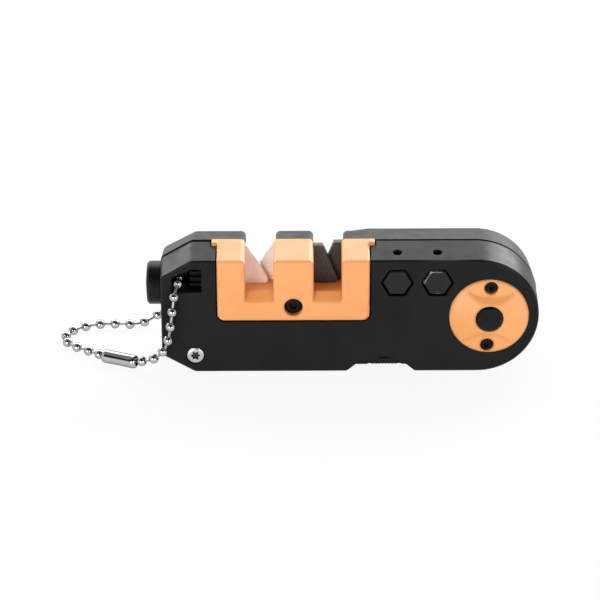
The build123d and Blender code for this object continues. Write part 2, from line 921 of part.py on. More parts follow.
# Cross-head bit: a blunt cone with four flutes
with BuildPart() as bit_phillips:
    add(bit_body())
    with BuildSketch(Plane.XY.offset(bit_z)):
        with BuildLine():
            Polyline(
                (0, hex_end),
                (bit_neck_radius, hex_end),
                (bit_neck_radius, tip_start),
                (cross_tip_radius, bit_end),
                (0, bit_end),
                close=True,
            )
        make_face()
    revolve(axis=bit_axis)
    with BuildSketch(across(bit_end)):
        with Locations((0, bit_z)):
            with PolarLocations(bit_neck_radius, 4, start_angle=45):
                Circle(flute_radius)
    extrude(amount=bit_tip_length, mode=Mode.SUBTRACT)

# Slotted bit: a round neck ground to a flat blade
with BuildPart() as bit_slotted:
    add(bit_body())
    bore(0, bit_z, bit_neck_radius, hex_end, bit_end, mode=Mode.ADD)
    with BuildSketch(Plane.YZ.offset(-bit_neck_radius)):
        for side in (-1, 1):
            with BuildLine():
                Polyline(
                    (tip_start, bit_z + side * bit_neck_radius),
                    (bit_end, bit_z + side * slot_tip_thickness / 2),
                    (bit_end, bit_z + side * bit_neck_radius),
                    close=True,
                )
            make_face()
    extrude(amount=2 * bit_neck_radius, mode=Mode.SUBTRACT)

# Small magnets above the bits
with BuildPart() as bit_magnets:
    with BuildSketch(Plane.XY.offset(magnet_z)):
        with Locations(*[(x, magnet_y) for x in bit_places]):
            Circle(magnet_radius)
    extrude(amount=magnet_length)

# Whistle mouthpiece: round knob on a spigot, with a flat windway that blows into the window
knob_face = nose_x - ridge_reach
knob_end = knob_face - knob_out
spigot_end = window_left - spigot_short
with BuildPart() as whistle_mouthpiece:
    with BuildSketch(Plane.XZ):
        with BuildLine():
            Polyline(
                (knob_end, knob_up),
                (spigot_end, knob_up),
                (spigot_end, knob_up + spigot_radius),
                (knob_face, knob_up + spigot_radius),
                (knob_face, knob_up + knob_radius),
                (knob_end + knob_crown + knob_bevel, knob_up + knob_radius),
                (knob_end + knob_crown, knob_up + knob_radius - knob_bevel),
                close=True,
            )
        make_face()
    revolve(axis=Axis((0, 0, knob_up), (1, 0, 0)))
    with BuildSketch(Plane.YZ.offset(knob_end)):
        with Locations((0, knob_up + windway_up)):
            Rectangle(windway_width, windway_height)
    extrude(amount=spigot_end - knob_end, mode=Mode.SUBTRACT)

# Ball chain along its route: straight runs joined by tangent arcs
window_ends = [
    [Vector(nose_x + along, depth, window_low + up) for along, depth, up in points]
    for points in (window_route_front, window_route_rear)
]
front_run = [Vector(nose_x + along, -half_depth - out, up) for along, out, up in front_route]
floor_run = [Vector(nose_x + along, half_depth + out, up) for along, out, up in floor_route]
route = window_ends[0] + front_run + floor_run + window_ends[1]
corner_radii = []
for before, corner, after in zip(route, route[1:], route[2:]):
    run = min((corner - before).length, (after - corner).length)
    turn = math.radians((corner - before).get_angle(after - corner))
    corner_radii.append(corner_share * run / math.tan(turn / 2))
print("chain corner radii", [round(radius, 1) for radius in corner_radii])
with BuildLine() as chain_line:
    FilletPolyline(*route, radius=corner_radii)
chain_path = chain_line.wire()
barrel_axis = (floor_run[0] - front_run[-1]).normalized()
barrel_middle = (floor_run[0] + front_run[-1]) / 2
barrel_at = chain_path.param_at_point(barrel_middle) * chain_path.length
bead_steps = round((chain_path.length - barrel_gap) / bead_pitch)
bead_step = (chain_path.length - barrel_gap) / bead_steps
first_bead = barrel_at + barrel_gap / 2
bead_places = [(first_bead + n * bead_step) % chain_path.length for n in range(bead_steps + 1)]
print("chain length", round(chain_path.length, 2), "beads", len(bead_places))
bead_planes = [
    Plane(
        origin=chain_path.position_at(place, position_mode=PositionMode.LENGTH),
        z_dir=chain_path.tangent_at(place, position_mode=PositionMode.LENGTH),
    )
    for place in bead_places
]
bead_centres = [plane.origin for plane in bead_planes]

with BuildPart() as bead:
    Box(2 * bead_radius, 2 * bead_radius, 2 * bead_radius)
    for side in (Plane.XY, Plane.YZ, Plane.XZ):
        with BuildSketch(side):
            RegularPolygon(
                bead_radius, bead_side_count, major_radius=False, rotation=180 / bead_side_count
            )
        extrude(amount=bead_radius, both=True, mode=Mode.INTERSECT)

with BuildPart() as chain_beads:
    with Locations(*[Location(plane) for plane in bead_planes]):
        add(bead.part)

with BuildPart() as chain_links:
    for start, end in zip(bead_centres, bead_centres[1:] + bead_centres[:1]):
        along = (end - start).normalized()
        with BuildSketch(Plane(origin=start + along * (bead_radius - link_seat), z_dir=along)):
            RegularPolygon(link_radius, side_count=6)
        extrude(amount=(end - start).length - 2 * (bead_radius - link_seat))

# Barrel connector that joins the two ends of the chain
barrel_half = barrel_length / 2
shoulder_drop = (barrel_radius - barrel_neck_radius) * barrel_shoulder_share
shoulder_run = barrel_round * barrel_shoulder_share
with BuildPart() as chain_connector:
    barrel_side = barrel_axis.cross(Vector(0, 0, 1))
    with BuildSketch(Plane(origin=barrel_middle, x_dir=barrel_axis, z_dir=barrel_side)):
        with BuildLine():
            Polyline(
                (barrel_half, barrel_neck_radius),
                (barrel_half - barrel_turn_in, barrel_neck_radius),
                (barrel_half - barrel_turn_in, barrel_radius - barrel_wall),
                (barrel_turn_in - barrel_half, barrel_radius - barrel_wall),
                (barrel_turn_in - barrel_half, barrel_neck_radius),
                (-barrel_half, barrel_neck_radius),
                (shoulder_run - barrel_half, barrel_radius - shoulder_drop),
                (barrel_round - barrel_half, barrel_radius),
                (barrel_half - barrel_round, barrel_radius),
                (barrel_half - shoulder_run, barrel_radius - shoulder_drop),
                close=True,
            )
        make_face()
    revolve(axis=Axis(barrel_middle, barrel_axis))

os.makedirs("parts", exist_ok=True)
pieces = {
    "front_shell": front_shell.part,
    "rear_shell": rear_shell.part,
    "sharpening_insert": sharpening_insert.part,
    **plates,
    "insert_screw": insert_screw,
    "case_screw": case_screw,
    "cap_screws": cap_screws,
    "rod_arm": rod_arm.part,
    "diamond_rod": diamond_rod.part,
    "pivot_cap": pivot_cap.part,
    "lock_button": lock_button.part,
    "lock_spring": lock_spring.part,
    "bit_phillips": Pos(bit_places[0], 0, 0) * bit_phillips.part,
    "bit_slotted": Pos(bit_places[1], 0, 0) * bit_slotted.part,
    "bit_magnets": bit_magnets.part,
    "whistle_mouthpiece": whistle_mouthpiece.part,
    "chain_beads": chain_beads.part,
    "chain_links": chain_links.part,
    "chain_connector": chain_connector.part,
}
for name, piece in pieces.items():
    piece.label = name
    export_step(piece, f"parts/{name}.step")
    print(name, len(piece.solids()), round(piece.volume, 2))
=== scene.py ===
import math

import bpy
import numpy as np
from mathutils import Matrix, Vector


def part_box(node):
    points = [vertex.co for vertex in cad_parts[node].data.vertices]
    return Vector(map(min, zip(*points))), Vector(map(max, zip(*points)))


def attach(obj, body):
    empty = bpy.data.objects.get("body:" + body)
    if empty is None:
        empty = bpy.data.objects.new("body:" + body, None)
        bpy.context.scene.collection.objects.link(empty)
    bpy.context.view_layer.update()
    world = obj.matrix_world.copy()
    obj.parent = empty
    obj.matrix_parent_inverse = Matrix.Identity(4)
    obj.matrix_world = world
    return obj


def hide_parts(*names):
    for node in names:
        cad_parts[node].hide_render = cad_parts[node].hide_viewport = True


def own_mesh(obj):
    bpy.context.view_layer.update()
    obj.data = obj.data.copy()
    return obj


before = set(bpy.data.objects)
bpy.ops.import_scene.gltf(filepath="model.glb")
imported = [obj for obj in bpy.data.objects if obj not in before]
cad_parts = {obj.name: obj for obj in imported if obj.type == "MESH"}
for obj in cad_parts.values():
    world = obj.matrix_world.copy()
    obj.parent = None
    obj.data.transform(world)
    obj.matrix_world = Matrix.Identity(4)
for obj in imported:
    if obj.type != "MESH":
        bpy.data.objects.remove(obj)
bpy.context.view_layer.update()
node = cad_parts


# Handle shells: two glass-filled nylon mouldings that meet on a plane along the handle.
# The mould is spark eroded, so both have a fine even grain, and use has rubbed their edges a little paler.
def start_material(name):
    """New material with its shader, and the Object coordinates that its patterns lie on."""
    material = bpy.data.materials.new(name)
    material.use_nodes = True
    tree = material.node_tree
    shader = tree.nodes["Principled BSDF"]
    place = tree.nodes.new("ShaderNodeTexCoord").outputs["Object"]
    return material, tree, shader, place


def reopen(material):
    """Tree, shader and Object coordinates of a material that gets a further layer."""
    tree = material.node_tree
    shader = tree.nodes["Principled BSDF"]
    place = next(n for n in tree.nodes if n.type == "TEX_COORD").outputs["Object"]
    return tree, shader, place


def speckle(tree, place, size, detail=2.0, stretch=None):
    """Noise with features of about that size in metres, drawn out along an axis by stretch."""
    if stretch:
        mapping = tree.nodes.new("ShaderNodeMapping")
        mapping.inputs["Scale"].default_value = stretch
        tree.links.new(place, mapping.inputs["Vector"])
        place = mapping.outputs["Vector"]
    noise = tree.nodes.new("ShaderNodeTexNoise")
    noise.inputs["Scale"].default_value = 1 / size
    noise.inputs["Detail"].default_value = detail
    tree.links.new(place, noise.inputs["Vector"])
    return noise.outputs["Fac"]


def blend_tones(tree, pattern, low, high, start=0.35, end=0.65):
    """Colour that goes from the low tone to the high one as the pattern goes from start to end."""
    ramp = tree.nodes.new("ShaderNodeValToRGB")
    ramp.color_ramp.elements[0].position = start
    ramp.color_ramp.elements[1].position = end
    ramp.color_ramp.elements[0].color = (*low, 1)
    ramp.color_ramp.elements[1].color = (*high, 1)
    tree.links.new(pattern, ramp.inputs["Fac"])
    return ramp.outputs["Color"]


def spread(tree, pattern, low, high, start=0.3, end=0.7):
    """Number that goes from low to high as the pattern goes from start to end, and stays there beyond."""
    scale = tree.nodes.new("ShaderNodeMapRange")
    scale.inputs["From Min"].default_value = start
    scale.inputs["From Max"].default_value = end
    scale.inputs["To Min"].default_value = low
    scale.inputs["To Max"].default_value = high
    tree.links.new(pattern, scale.inputs["Value"])
    return scale.outputs["Result"]


def work_out(tree, operation, *values):
    """Result of a calculation with one or two values, each a node's output or a plain number."""
    sum_node = tree.nodes.new("ShaderNodeMath")
    sum_node.operation = operation
    for value, socket in zip(values, sum_node.inputs):
        if isinstance(value, float):
            socket.default_value = value
        else:
            tree.links.new(value, socket)
    return sum_node.outputs["Value"]


def raise_grain(tree, shader, pattern, depth, strength, edge):
    """Grain of that depth over a surface whose sharp edges turn over a small radius."""
    turn = tree.nodes.new("ShaderNodeBevel")
    turn.inputs["Radius"].default_value = edge
    bump = tree.nodes.new("ShaderNodeBump")
    bump.inputs["Distance"].default_value = depth
    bump.inputs["Strength"].default_value = strength
    tree.links.new(pattern, bump.inputs["Height"])
    tree.links.new(turn.outputs["Normal"], bump.inputs["Normal"])
    tree.links.new(bump.outputs["Normal"], shader.inputs["Normal"])


def edge_wear_and_glint(tree, place, radius, patch, start, end):
    """One along sharp edges and zero on the faces, broken up into patches of about that size.

    The cosine between the true normal and the one turned over the radius falls below 1 near an edge.
    """
    flat_cosine, edge_cosine = 0.99, 0.93
    turn = tree.nodes.new("ShaderNodeBevel")
    turn.inputs["Radius"].default_value = radius
    surface = tree.nodes.new("ShaderNodeNewGeometry")
    cosine = tree.nodes.new("ShaderNodeVectorMath")
    cosine.operation = "DOT_PRODUCT"
    tree.links.new(turn.outputs["Normal"], cosine.inputs[0])
    tree.links.new(surface.outputs["True Normal"], cosine.inputs[1])
    near_edge = spread(tree, cosine.outputs["Value"], 0, 1, flat_cosine, edge_cosine)
    patches = blend_tones(tree, speckle(tree, place, patch), (0, 0, 0), (1, 1, 1), start, end)
    return work_out(tree, "MULTIPLY", near_edge, patches)


def mix_tones(tree, share, tone, other):
    """Colour that goes from a node's tone to another, plain one as the share goes from 0 to 1."""
    mix = tree.nodes.new("ShaderNodeMix")
    mix.data_type = "RGBA"
    mix.inputs["B"].default_value = (*other, 1)
    tree.links.new(share, mix.inputs["Factor"])
    tree.links.new(tone, mix.inputs["A"])
    return mix.outputs["Result"]


def moulded_plastic(name, low, high, drift, gloss, grain, depth, ior, edge=0.0003):
    """Moulded plastic: its tone drifts over the part, and the mould's grain shows as fine relief."""
    rub_start, rub_end, rub_paler = 0.3, 0.8, 0.02
    material, tree, shader, place = start_material(name)
    tone = blend_tones(tree, speckle(tree, place, drift, detail=3.0), low, high)
    rubbed = edge_wear_and_glint(tree, place, edge, drift / 2, rub_start, rub_end)
    paler = tuple(value + (1 - value) * rub_paler for value in high)
    tree.links.new(mix_tones(tree, rubbed, tone, paler), shader.inputs["Base Color"])
    tree.links.new(spread(tree, speckle(tree, place, drift / 3), *gloss), shader.inputs["Roughness"])
    raise_grain(tree, shader, speckle(tree, place, grain), depth, strength=0.3, edge=edge)
    shader.inputs["IOR"].default_value = ior
    return material


def dress(material, *names):
    """Give a finish to carried-over parts."""
    for name in names:
        node[name].data.materials.clear()
        node[name].data.materials.append(material)


charcoal_plastic = moulded_plastic(
    "charcoal_plastic",
    low=(0.0050, 0.0051, 0.0051),
    high=(0.0082, 0.0084, 0.0082),
    drift=0.012,
    gloss=(0.33, 0.47),
    grain=0.00016,
    depth=0.00001,
    ior=1.26,
)
# Painted shade: the groove where the shells meet, at Y = 0, is painted dark and dull, widest on the nose
groove_half = 0.00042
groove_half_nose = 0.0007
groove_fade = 0.00015
nose_start, nose_full = -0.026, -0.031
groove_shade_tone = (0.0008, 0.0008, 0.0008)
tree, shader, place = reopen(charcoal_plastic)
across = tree.nodes.new("ShaderNodeSeparateXYZ")
tree.links.new(place, across.inputs["Vector"])
groove_reach = spread(tree, across.outputs["X"], groove_half, groove_half_nose, nose_start, nose_full)
from_seam = work_out(tree, "ABSOLUTE", across.outputs["Y"])
groove_shade_share = spread(tree, work_out(tree, "SUBTRACT", from_seam, groove_reach), 0, 1, groove_fade, 0)
unshaded_tone = shader.inputs["Base Color"].links[0].from_socket
clean_gloss = shader.inputs["Roughness"].links[0].from_socket
tree.links.new(mix_tones(tree, groove_shade_share, unshaded_tone, groove_shade_tone), shader.inputs["Base Color"])
dull = tree.nodes.new("ShaderNodeMix")
dull.inputs["B"].default_value = 1.0
tree.links.new(groove_shade_share, dull.inputs["Factor"])
tree.links.new(clean_gloss, dull.inputs["A"])
tree.links.new(dull.outputs["Result"], shader.inputs["Roughness"])
dress(charcoal_plastic, "rear_shell", "front_shell")


# Lock spring: a coil of round steel wire with closed ends, on the post of the rear shell.
# It presses the button forwards, so it shortens towards the rear wall when the button goes in.
def tube_faces(rings, loop):
    """Points, quads and fans of a surface through rings: its ends are shut by fans or joined to a loop.

    The faces are turned outwards by the sign of the volume that they enclose.
    """
    count, around = rings.shape[:2]
    step = np.arange(count if loop else count - 1)[:, None]
    side = np.arange(around)[None, :]
    after = (step + 1) % count
    turn = (side + 1) % around
    quads = np.stack(
        [step * around + side, step * around + turn, after * around + turn, after * around + side], axis=-1
    ).reshape(-1, 4)
    points = rings.reshape(-1, 3)
    fans = np.empty((0, 3), int)
    if not loop:
        points = np.vstack([points, rings[0].mean(axis=0), rings[-1].mean(axis=0)])
        near = np.arange(around)
        far = near + (count - 1) * around
        near_fan = np.stack([np.roll(near, -1), near, np.full(around, count * around)], axis=1)
        far_fan = np.stack([far, np.roll(far, -1), np.full(around, count * around + 1)], axis=1)
        fans = np.vstack([near_fan, far_fan])
    corners = np.vstack([quads[:, [0, 1, 2]], quads[:, [0, 2, 3]], fans])
    a, b, c = (points[corners[:, n]] - points.mean(axis=0) for n in range(3))
    if np.einsum("ij,ij->", a, np.cross(b, c)) < 0:
        quads, fans = quads[:, ::-1], fans[:, ::-1]
    return points, quads, fans


def tube_mesh(name, *tubes, loop=False):
    """One smooth mesh out of tubes, each given as its rings of points: all its quads, then its fans."""
    all_points, faces = np.empty((0, 3)), []
    for rings in tubes:
        points, quads, fans = tube_faces(rings, loop)
        faces += (quads + len(all_points)).tolist() + (fans + len(all_points)).tolist()
        all_points = np.vstack([all_points, points])
    mesh = bpy.data.meshes.new(name)
    mesh.from_pydata(all_points.tolist(), [], faces)
    mesh.shade_smooth()
    return mesh


def add_piece(name, mesh, material, body, slot, *stands_for):
    """Put a mesh into the scene as a piece that rides on a body in place of carried-over parts."""
    mesh.materials.append(material)
    piece = bpy.data.objects.new(name, mesh)
    bpy.context.scene.collection.objects.link(piece)
    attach(piece, body)
    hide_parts(*stands_for)
    return piece


def sweep_rings(path, radius, around):
    """Rings of that radius across a path, each on the plane of its tangent and started from the vertical.

    Where the tangent itself is nearly vertical, the ring starts from the Y axis.
    """
    steep = 0.9
    tangent = np.gradient(path, axis=0)
    tangent /= np.linalg.norm(tangent, axis=1, keepdims=True)
    lean = np.where(np.abs(tangent[:, 2:]) < steep, np.array([[0, 0, 1.0]]), np.array([[0, 1.0, 0]]))
    out = np.cross(tangent, lean)
    out /= np.linalg.norm(out, axis=1, keepdims=True)
    up = np.cross(tangent, out)
    angle = np.linspace(0, 2 * np.pi, around, endpoint=False)
    spoke = out[:, None] * np.cos(angle)[:, None] + up[:, None] * np.sin(angle)[:, None]
    return path[:, None] + radius * spoke


def drawn_steel(name, low, high, gloss, stretch, metal=1.0, ior=1.5):
    """Drawn or turned steel: fine lines along one direction, in tone, gloss and relief."""
    line_width = 0.0002
    material, tree, shader, place = start_material(name)
    lines = speckle(tree, place, line_width, detail=3.0, stretch=stretch)
    tree.links.new(blend_tones(tree, lines, low, high), shader.inputs["Base Color"])
    tree.links.new(spread(tree, lines, *gloss), shader.inputs["Roughness"])
    raise_grain(tree, shader, lines, depth=0.000006, strength=0.25, edge=0.00015)
    shader.inputs["Metallic"].default_value = metal
    shader.inputs["IOR"].default_value = ior
    return material


spring_steel = drawn_steel(
    "spring_steel", low=(0.42, 0.42, 0.44), high=(0.62, 0.62, 0.63), gloss=(0.22, 0.34), stretch=(1, 12, 1)
)
spring_low, spring_high = (np.array(corner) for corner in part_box("lock_spring"))
spring_wire = 0.0007
spring_turns = 4
spring_points = 220
wire_sides = 12
spring_middle = (spring_low + spring_high) / 2
spring_radius = (spring_high[0] - spring_low[0] - spring_wire) / 2
spring_length = spring_high[1] - spring_low[1]
along = np.linspace(0, 1, spring_points)
# The rise starts and ends slowly, because the end coils lie flat
flat_ends = 0.1
rise = along - flat_ends * np.sin(2 * np.pi * along) / (2 * np.pi) * spring_turns / 2
winding = 2 * np.pi * spring_turns * along
coil = np.stack(
    [
        spring_middle[0] + spring_radius * np.cos(winding),
        spring_low[1] + spring_wire / 2 + (spring_length - spring_wire) * rise,
        spring_middle[2] + spring_radius * np.sin(winding),
    ],
    axis=1,
)
lock_coil = add_piece(
    "lock_coil",
    tube_mesh("lock_coil", sweep_rings(coil, spring_wire / 2, wire_sides)),
    spring_steel,
    "body",
    "spring_steel",
    "lock_spring",
)
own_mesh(lock_coil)

# Lock button and whistle mouthpiece: turned and moulded in the same black as the handle, but polished
# where a thumb or the lips touch them. The button slides in the hub, the mouthpiece is pressed in.
polished_black = moulded_plastic(
    "polished_black",
    low=(0.0045, 0.0048, 0.0046),
    high=(0.0070, 0.0074, 0.0071),
    drift=0.006,
    gloss=(0.26, 0.36),
    grain=0.0003,
    depth=0.000004,
    ior=1.25,
)
dress(polished_black, "lock_button", "whistle_mouthpiece")

# Folding arm: a glass-filled moulding with its hub between the shells, ribbed where a finger pulls it out.
# It is duller than the handle, because its grain is coarser.
arm_plastic = moulded_plastic(
    "arm_plastic",
    low=(0.0060, 0.0060, 0.0060),
    high=(0.0110, 0.0110, 0.0108),
    drift=0.008,
    gloss=(0.42, 0.54),
    grain=0.00022,
    depth=0.000014,
    ior=1.30,
)
dress(arm_plastic, "rod_arm")

# Sharpening rod: tapered steel with diamond grit bound in nickel, its tang glued into the arm.
# Every grain catches the light on its own, so grains differ in tone, gloss and height.
grit_size = 0.00014
diamond_grit, tree, shader, place = start_material("diamond_grit")
grains = tree.nodes.new("ShaderNodeTexVoronoi")
grains.inputs["Scale"].default_value = 1 / grit_size
tree.links.new(place, grains.inputs["Vector"])
grain_tone = tree.nodes.new("ShaderNodeSeparateColor")
tree.links.new(grains.outputs["Color"], grain_tone.inputs["Color"])
grit_tone = blend_tones(
    tree, grain_tone.outputs["Red"], low=(0.24, 0.24, 0.25), high=(0.78, 0.78, 0.80), start=0.1, end=0.95
)
tree.links.new(grit_tone, shader.inputs["Base Color"])
tree.links.new(spread(tree, grain_tone.outputs["Green"], low=0.16, high=0.5), shader.inputs["Roughness"])
shader.inputs["Metallic"].default_value = 0.9
raise_grain(tree, shader, grains.outputs["Distance"], depth=0.00003, strength=0.7, edge=0.0002)
dress(diamond_grit, "diamond_rod")

# Sharpening insert and pivot cap: smooth orange mouldings, the cap screwed to the hub of the arm.
# The plastic lets a little light in, so its edges and its thin walls look warmer.
orange_plastic = moulded_plastic(
    "orange_plastic",
    low=(0.910, 0.362, 0.094),
    high=(0.945, 0.392, 0.108),
    drift=0.010,
    gloss=(0.44, 0.54),
    grain=0.0004,
    depth=0.000004,
    ior=1.80,
    edge=0.0012,
)
tree, shader, place = reopen(orange_plastic)
shader.inputs["Subsurface Weight"].default_value = 0.12
shader.inputs["Subsurface Radius"].default_value = (1.0, 0.45, 0.15)
shader.inputs["Subsurface Scale"].default_value = 0.0008
dress(orange_plastic, "sharpening_insert", "pivot_cap")

# Ceramic plates: two crossed slips of white honing ceramic, pressed into their seats.
# Fired and ground, they are matt, with fine pores and a faint warm tone.
honing_ceramic, tree, shader, place = start_material("honing_ceramic")
pores = speckle(tree, place, size=0.00018, detail=4.0)
cloud = speckle(tree, place, size=0.003, detail=3.0)
fired_tone = blend_tones(tree, cloud, low=(0.88, 0.88, 0.87), high=(0.94, 0.94, 0.93))
tree.links.new(fired_tone, shader.inputs["Base Color"])
tree.links.new(spread(tree, pores, low=0.5, high=0.7), shader.inputs["Roughness"])
raise_grain(tree, shader, pores, depth=0.00001, strength=0.4, edge=0.0007)
shader.inputs["Subsurface Weight"].default_value = 0.1
shader.inputs["Subsurface Radius"].default_value = (1.0, 0.8, 0.7)
shader.inputs["Subsurface Scale"].default_value = 0.0006
dress(honing_ceramic, "ceramic_plate_front", "ceramic_plate_rear")

# Carbide plates: two crossed cutters of sintered carbide, ground on their faces and cutting edges.
# Dark brown-grey, with bright grains scattered over the ground surface and paler ground edges.
ground_carbide, tree, shader, place = start_material("ground_carbide")
grind = speckle(tree, place, size=0.0003, detail=4.0, stretch=(1, 1, 0.35))
sparks = speckle(tree, place, size=0.00035, detail=1.0)
sintered_tone = blend_tones(tree, grind, low=(0.034, 0.029, 0.024), high=(0.062, 0.054, 0.046))
spark_share = blend_tones(tree, sparks, low=(0, 0, 0), high=(1, 1, 1), start=0.66, end=0.74)
sparkling = mix_tones(tree, spark_share, sintered_tone, (0.17, 0.155, 0.14))
ground_edge = edge_wear_and_glint(tree, place, radius=0.0002, patch=0.002, start=0.2, end=0.6)
tree.links.new(mix_tones(tree, ground_edge, sparkling, (0.24, 0.22, 0.20)), shader.inputs["Base Color"])
tree.links.new(spread(tree, grind, low=0.34, high=0.52), shader.inputs["Roughness"])
shader.inputs["Metallic"].default_value = 0.35
raise_grain(tree, shader, grind, depth=0.000012, strength=0.5, edge=0.0002)
dress(ground_carbide, "carbide_plate_front", "carbide_plate_rear")

# Screws: round heads with a six-lobed recess and a rolled thread. The bright one closes the handle at
# its lower corner, the blackened ones hold the insert and the two ends of the pivot cap.
screw_sides = 96


def lobed_screw(x, z, head_y, end_y, head_radius, head_height, shank_radius):
    """Rings of a screw along Y, from the floor of its recess over the head to the point of the thread.

    The recess is a star with straight sides between tips at 0.56 R and hollows at 0.34 R: the side from
    tip p to hollow q is r(d) = p q sin 30 / (p sin d + q sin(30 - d)) at d degrees from the tip. The head
    is a flat dome that falls with the fifth power of the radius, and the thread is a triangle wave that
    climbs one pitch with each turn.
    """
    tip, hollow = 0.56 * head_radius, 0.34 * head_radius
    dome_fall, recess_depth, recess_bevel = (share * head_height for share in (0.3, 0.62, 0.06))
    rim_radius = 0.97 * head_radius
    pitch = 0.62 * shank_radius
    thread_depth = 0.16
    point_length, point_radius = 0.08, 0.15
    floor_share, foot_share, mouth_share = 0.5, 0.97, 1.05
    dome_rows, thread_rows = 8, 90
    angle = np.linspace(0, 2 * np.pi, screw_sides, endpoint=False)
    from_tip = np.abs((angle + np.pi / 6) % (np.pi / 3) - np.pi / 6)
    lobes = tip * hollow / 2 / (tip * np.sin(from_tip) + hollow * np.sin(np.pi / 6 - from_tip))
    outwards = np.linspace(0, 1, dome_rows + 1)[1:, None]
    dome_radius = lobes + (rim_radius - lobes) * outwards
    dome = dome_fall * (dome_radius / head_radius) ** 5
    recess_top = dome_fall * (lobes / head_radius) ** 5
    shoulder = head_y + head_height
    run = np.linspace(0, 1, thread_rows)
    shank_y = shoulder + (end_y - shoulder) * run
    climb = (shank_y[:, None] - shoulder) / pitch - angle / (2 * np.pi)
    thread = np.abs(2 * (climb % 1) - 1)
    point = np.clip((1 - run) / point_length, point_radius, 1)[:, None]
    shank = shank_radius * (1 - thread_depth + thread_depth * thread) * point
    flat = np.ones_like(angle)
    radius = np.vstack(
        [lobes * floor_share, lobes * foot_share, lobes, lobes * mouth_share, dome_radius]
        + [head_radius * flat, head_radius * flat, shank_radius * flat, shank]
    )
    recess_floor = (head_y + recess_depth) * flat
    depth = np.vstack(
        [recess_floor, recess_floor, head_y + recess_top + recess_bevel, head_y + recess_top]
        + [head_y + dome, recess_floor, shoulder * flat, shoulder * flat, shank_y[:, None] * flat]
    )
    return np.stack([x + radius * np.cos(angle), depth, z + radius * np.sin(angle)], axis=-1)


def screw_in_box(corners, shank_radius, head_height):
    """Screw that fills a carried-over screw's box: the head is as wide as the box."""
    low, high = (np.array(corner) for corner in corners)
    middle = (low + high) / 2
    head_radius = (high[2] - low[2]) / 2
    return lobed_screw(middle[0], middle[2], low[1], high[1], head_radius, head_height, shank_radius)


bright_steel = drawn_steel(
    "bright_steel", low=(0.46, 0.46, 0.46), high=(0.58, 0.58, 0.58), gloss=(0.28, 0.42), stretch=(3, 1, 3)
)
blackened_steel = drawn_steel(
    "blackened_steel",
    low=(0.004, 0.0035, 0.003),
    high=(0.010, 0.008, 0.007),
    gloss=(0.40, 0.55),
    stretch=(3, 1, 3),
    metal=0.0,
    ior=1.22,
)
corner_rings = screw_in_box(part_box("case_screw"), shank_radius=0.0011, head_height=0.0013)
corner_screw = add_piece(
    "corner_screw",
    tube_mesh("corner_screw", corner_rings),
    bright_steel,
    "body",
    "screw_bright",
    "case_screw",
)
# Painted shade: the bright screw's recess is painted dark: the first three bands of quads and the first fan
recess_shade_steel = drawn_steel(
    "recess_shade_steel",
    low=(0.020, 0.020, 0.020),
    high=(0.060, 0.060, 0.060),
    gloss=(0.34, 0.5),
    stretch=(3, 1, 3),
    metal=0.5,
)
corner_screw.data.materials.append(recess_shade_steel)
corner_finish = np.zeros(len(corner_screw.data.polygons), int)
corner_finish[: 3 * screw_sides] = 1
corner_finish[-2 * screw_sides : -screw_sides] = 1
corner_screw.data.polygons.foreach_set("material_index", corner_finish)

insert_rings = screw_in_box(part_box("insert_screw"), shank_radius=0.0011, head_height=0.0018)
add_piece(
    "insert_fixing_screw",
    tube_mesh("insert_fixing_screw", insert_rings),
    blackened_steel,
    "body",
    "screw_black",
    "insert_screw",
)

cap_low, cap_high = (np.array(corner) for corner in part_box("cap_screws"))
cap_head = 2 * 0.0016
cap_ends = {
    "lower": (cap_low, (cap_low[0] + cap_head, cap_high[1], cap_low[2] + cap_head)),
    "upper": ((cap_high[0] - cap_head, cap_low[1], cap_high[2] - cap_head), cap_high),
}
for end, corners in cap_ends.items():
    cap_mesh = tube_mesh("cap_fixing_screw", screw_in_box(corners, shank_radius=0.0009, head_height=0.0015))
    add_piece(f"cap_screw_{end}", cap_mesh, blackened_steel, "rod", "screw_black", "cap_screws")


# Driver bits: quarter-inch hexagonal bits stored across the handle, shanks to the front.
# Blued tool steel, with faint lines from drawing the bar. The right one has painted glints on some edges.
def blued_bit(name, start, end):
    """Blued bar steel with painted glints: pale patches on its sharp edges, where the pattern passes start to
    end.
    """
    glint_shift = (0.0, 0.0, 0.010)
    glint_tone = (0.62, 0.62, 0.63)
    material = drawn_steel(
        name,
        low=(0.014, 0.014, 0.015),
        high=(0.026, 0.026, 0.028),
        gloss=(0.20, 0.30),
        stretch=(2, 0.3, 2),
        metal=0.4,
        ior=1.3,
    )
    tree, shader, place = reopen(material)
    moved = tree.nodes.new("ShaderNodeMapping")
    moved.inputs["Location"].default_value = glint_shift
    tree.links.new(place, moved.inputs["Vector"])
    # Painted glints: the edge patches are mixed towards a pale steel tone
    painted_glint = edge_wear_and_glint(tree, moved.outputs["Vector"], radius=0.0003, patch=0.0045, start=start, end=end)
    blued = shader.inputs["Base Color"].links[0].from_socket
    tree.links.new(mix_tones(tree, painted_glint, blued, glint_tone), shader.inputs["Base Color"])
    return material


dress(blued_bit("bit_steel", start=0.72, end=0.80), "bit_phillips")
dress(blued_bit("glint_bit_steel", start=0.52, end=0.60), "bit_slotted")

# Bit magnets: small nickel-plated discs in the holes above the bits, which they keep from falling out.
# They are glued in, and dull with handling.
magnet_nickel = drawn_steel(
    "magnet_nickel", low=(0.10, 0.10, 0.10), high=(0.20, 0.20, 0.20), gloss=(0.3, 0.45), stretch=(1, 1, 1)
)
dress(magnet_nickel, "bit_magnets")


